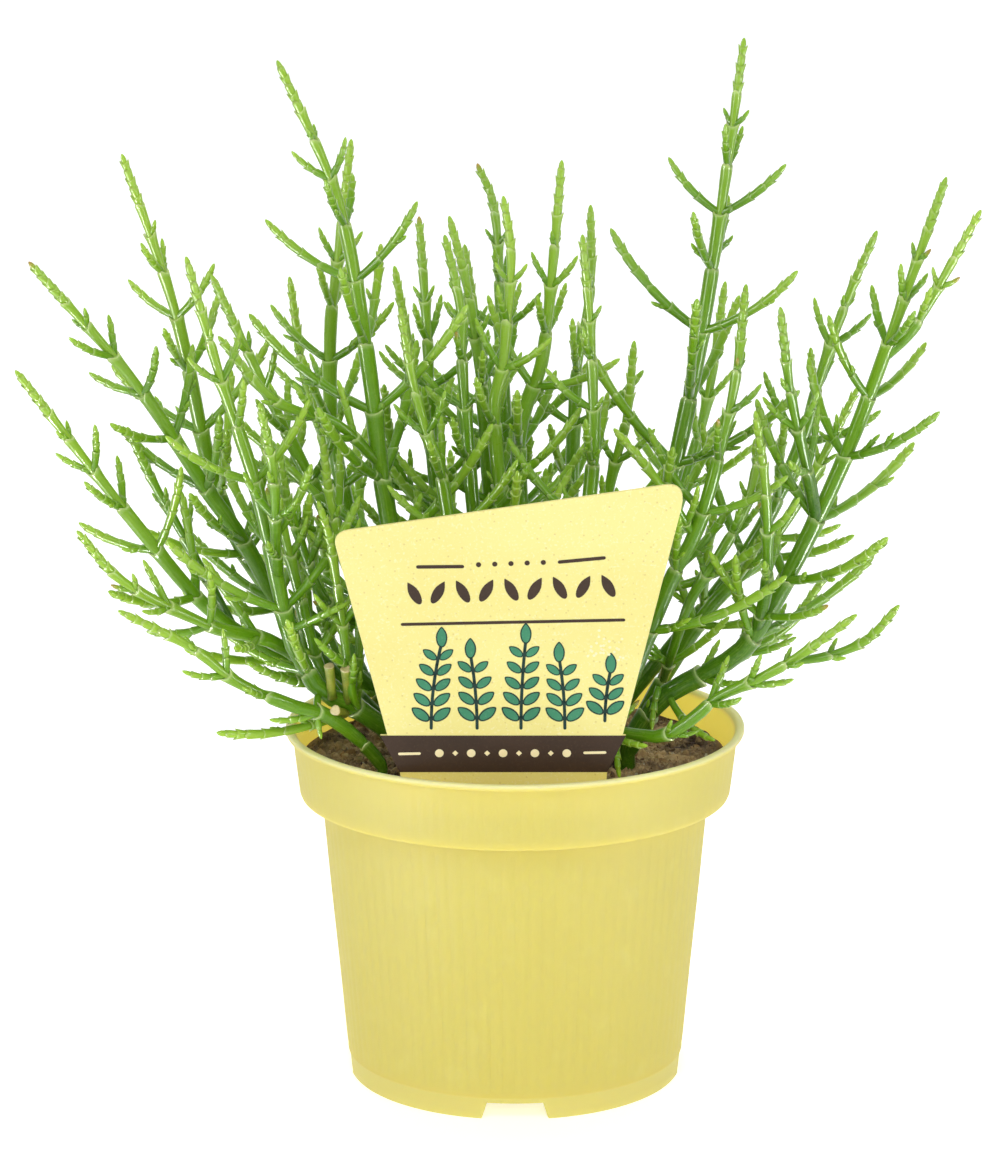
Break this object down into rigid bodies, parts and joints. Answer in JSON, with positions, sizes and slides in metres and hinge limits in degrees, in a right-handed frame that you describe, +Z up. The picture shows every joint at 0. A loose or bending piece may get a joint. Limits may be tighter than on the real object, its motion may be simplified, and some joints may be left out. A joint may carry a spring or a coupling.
{
  "type": "potted saltwort",
  "caption": "Bushy saltwort herb with jointed succulent stems, growing in a tapered nursery pot with a wide rim band and a plain card standing behind the rim.",
  "frame": {"origin": "on the ground plane, under the middle of the outline box of plant and pot", "axes": "+Z up, -Y towards the front of the pot, where the card stands, +X to the right of someone facing the card"},
  "size_m": [0.243, 0.1618, 0.273],
  "materials": {
    "pot_plastic": "satin",
    "card": "matt print",
    "soil": "rough, crumbly",
    "stem": "waxy"
  },
  "bodies": {
    "root": {"pot": "pot_plastic", "label": "card", "soil": "soil", "stem_far_left": "stem", "stem_low_left": "stem", "stem_rim_left": "stem", "stem_long_left": "stem", "stem_tall_left": "stem", "stem_thick_left": "stem", "stem_mid_left": "stem", "stem_tall_mid": "stem", "stem_back_left": "stem", "stem_centre_left": "stem", "stem_front_mid": "stem", "stem_back_mid": "stem", "stem_centre_a": "stem", "stem_centre_b": "stem", "stem_back_a": "stem", "stem_centre_c": "stem", "stem_centre_d": "stem", "stem_back_b": "stem", "stem_front_right": "stem", "stem_tallest": "stem", "stem_right_front": "stem", "stem_big_right": "stem", "stem_back_right": "stem", "stem_mid_right": "stem", "stem_low_right": "stem", "stem_inner_left": "stem", "stem_inner_right": "stem", "stem_rear_left": "stem", "stem_rear_mid": "stem", "stem_rear_right": "stem"}
  },
  "joints": []
}
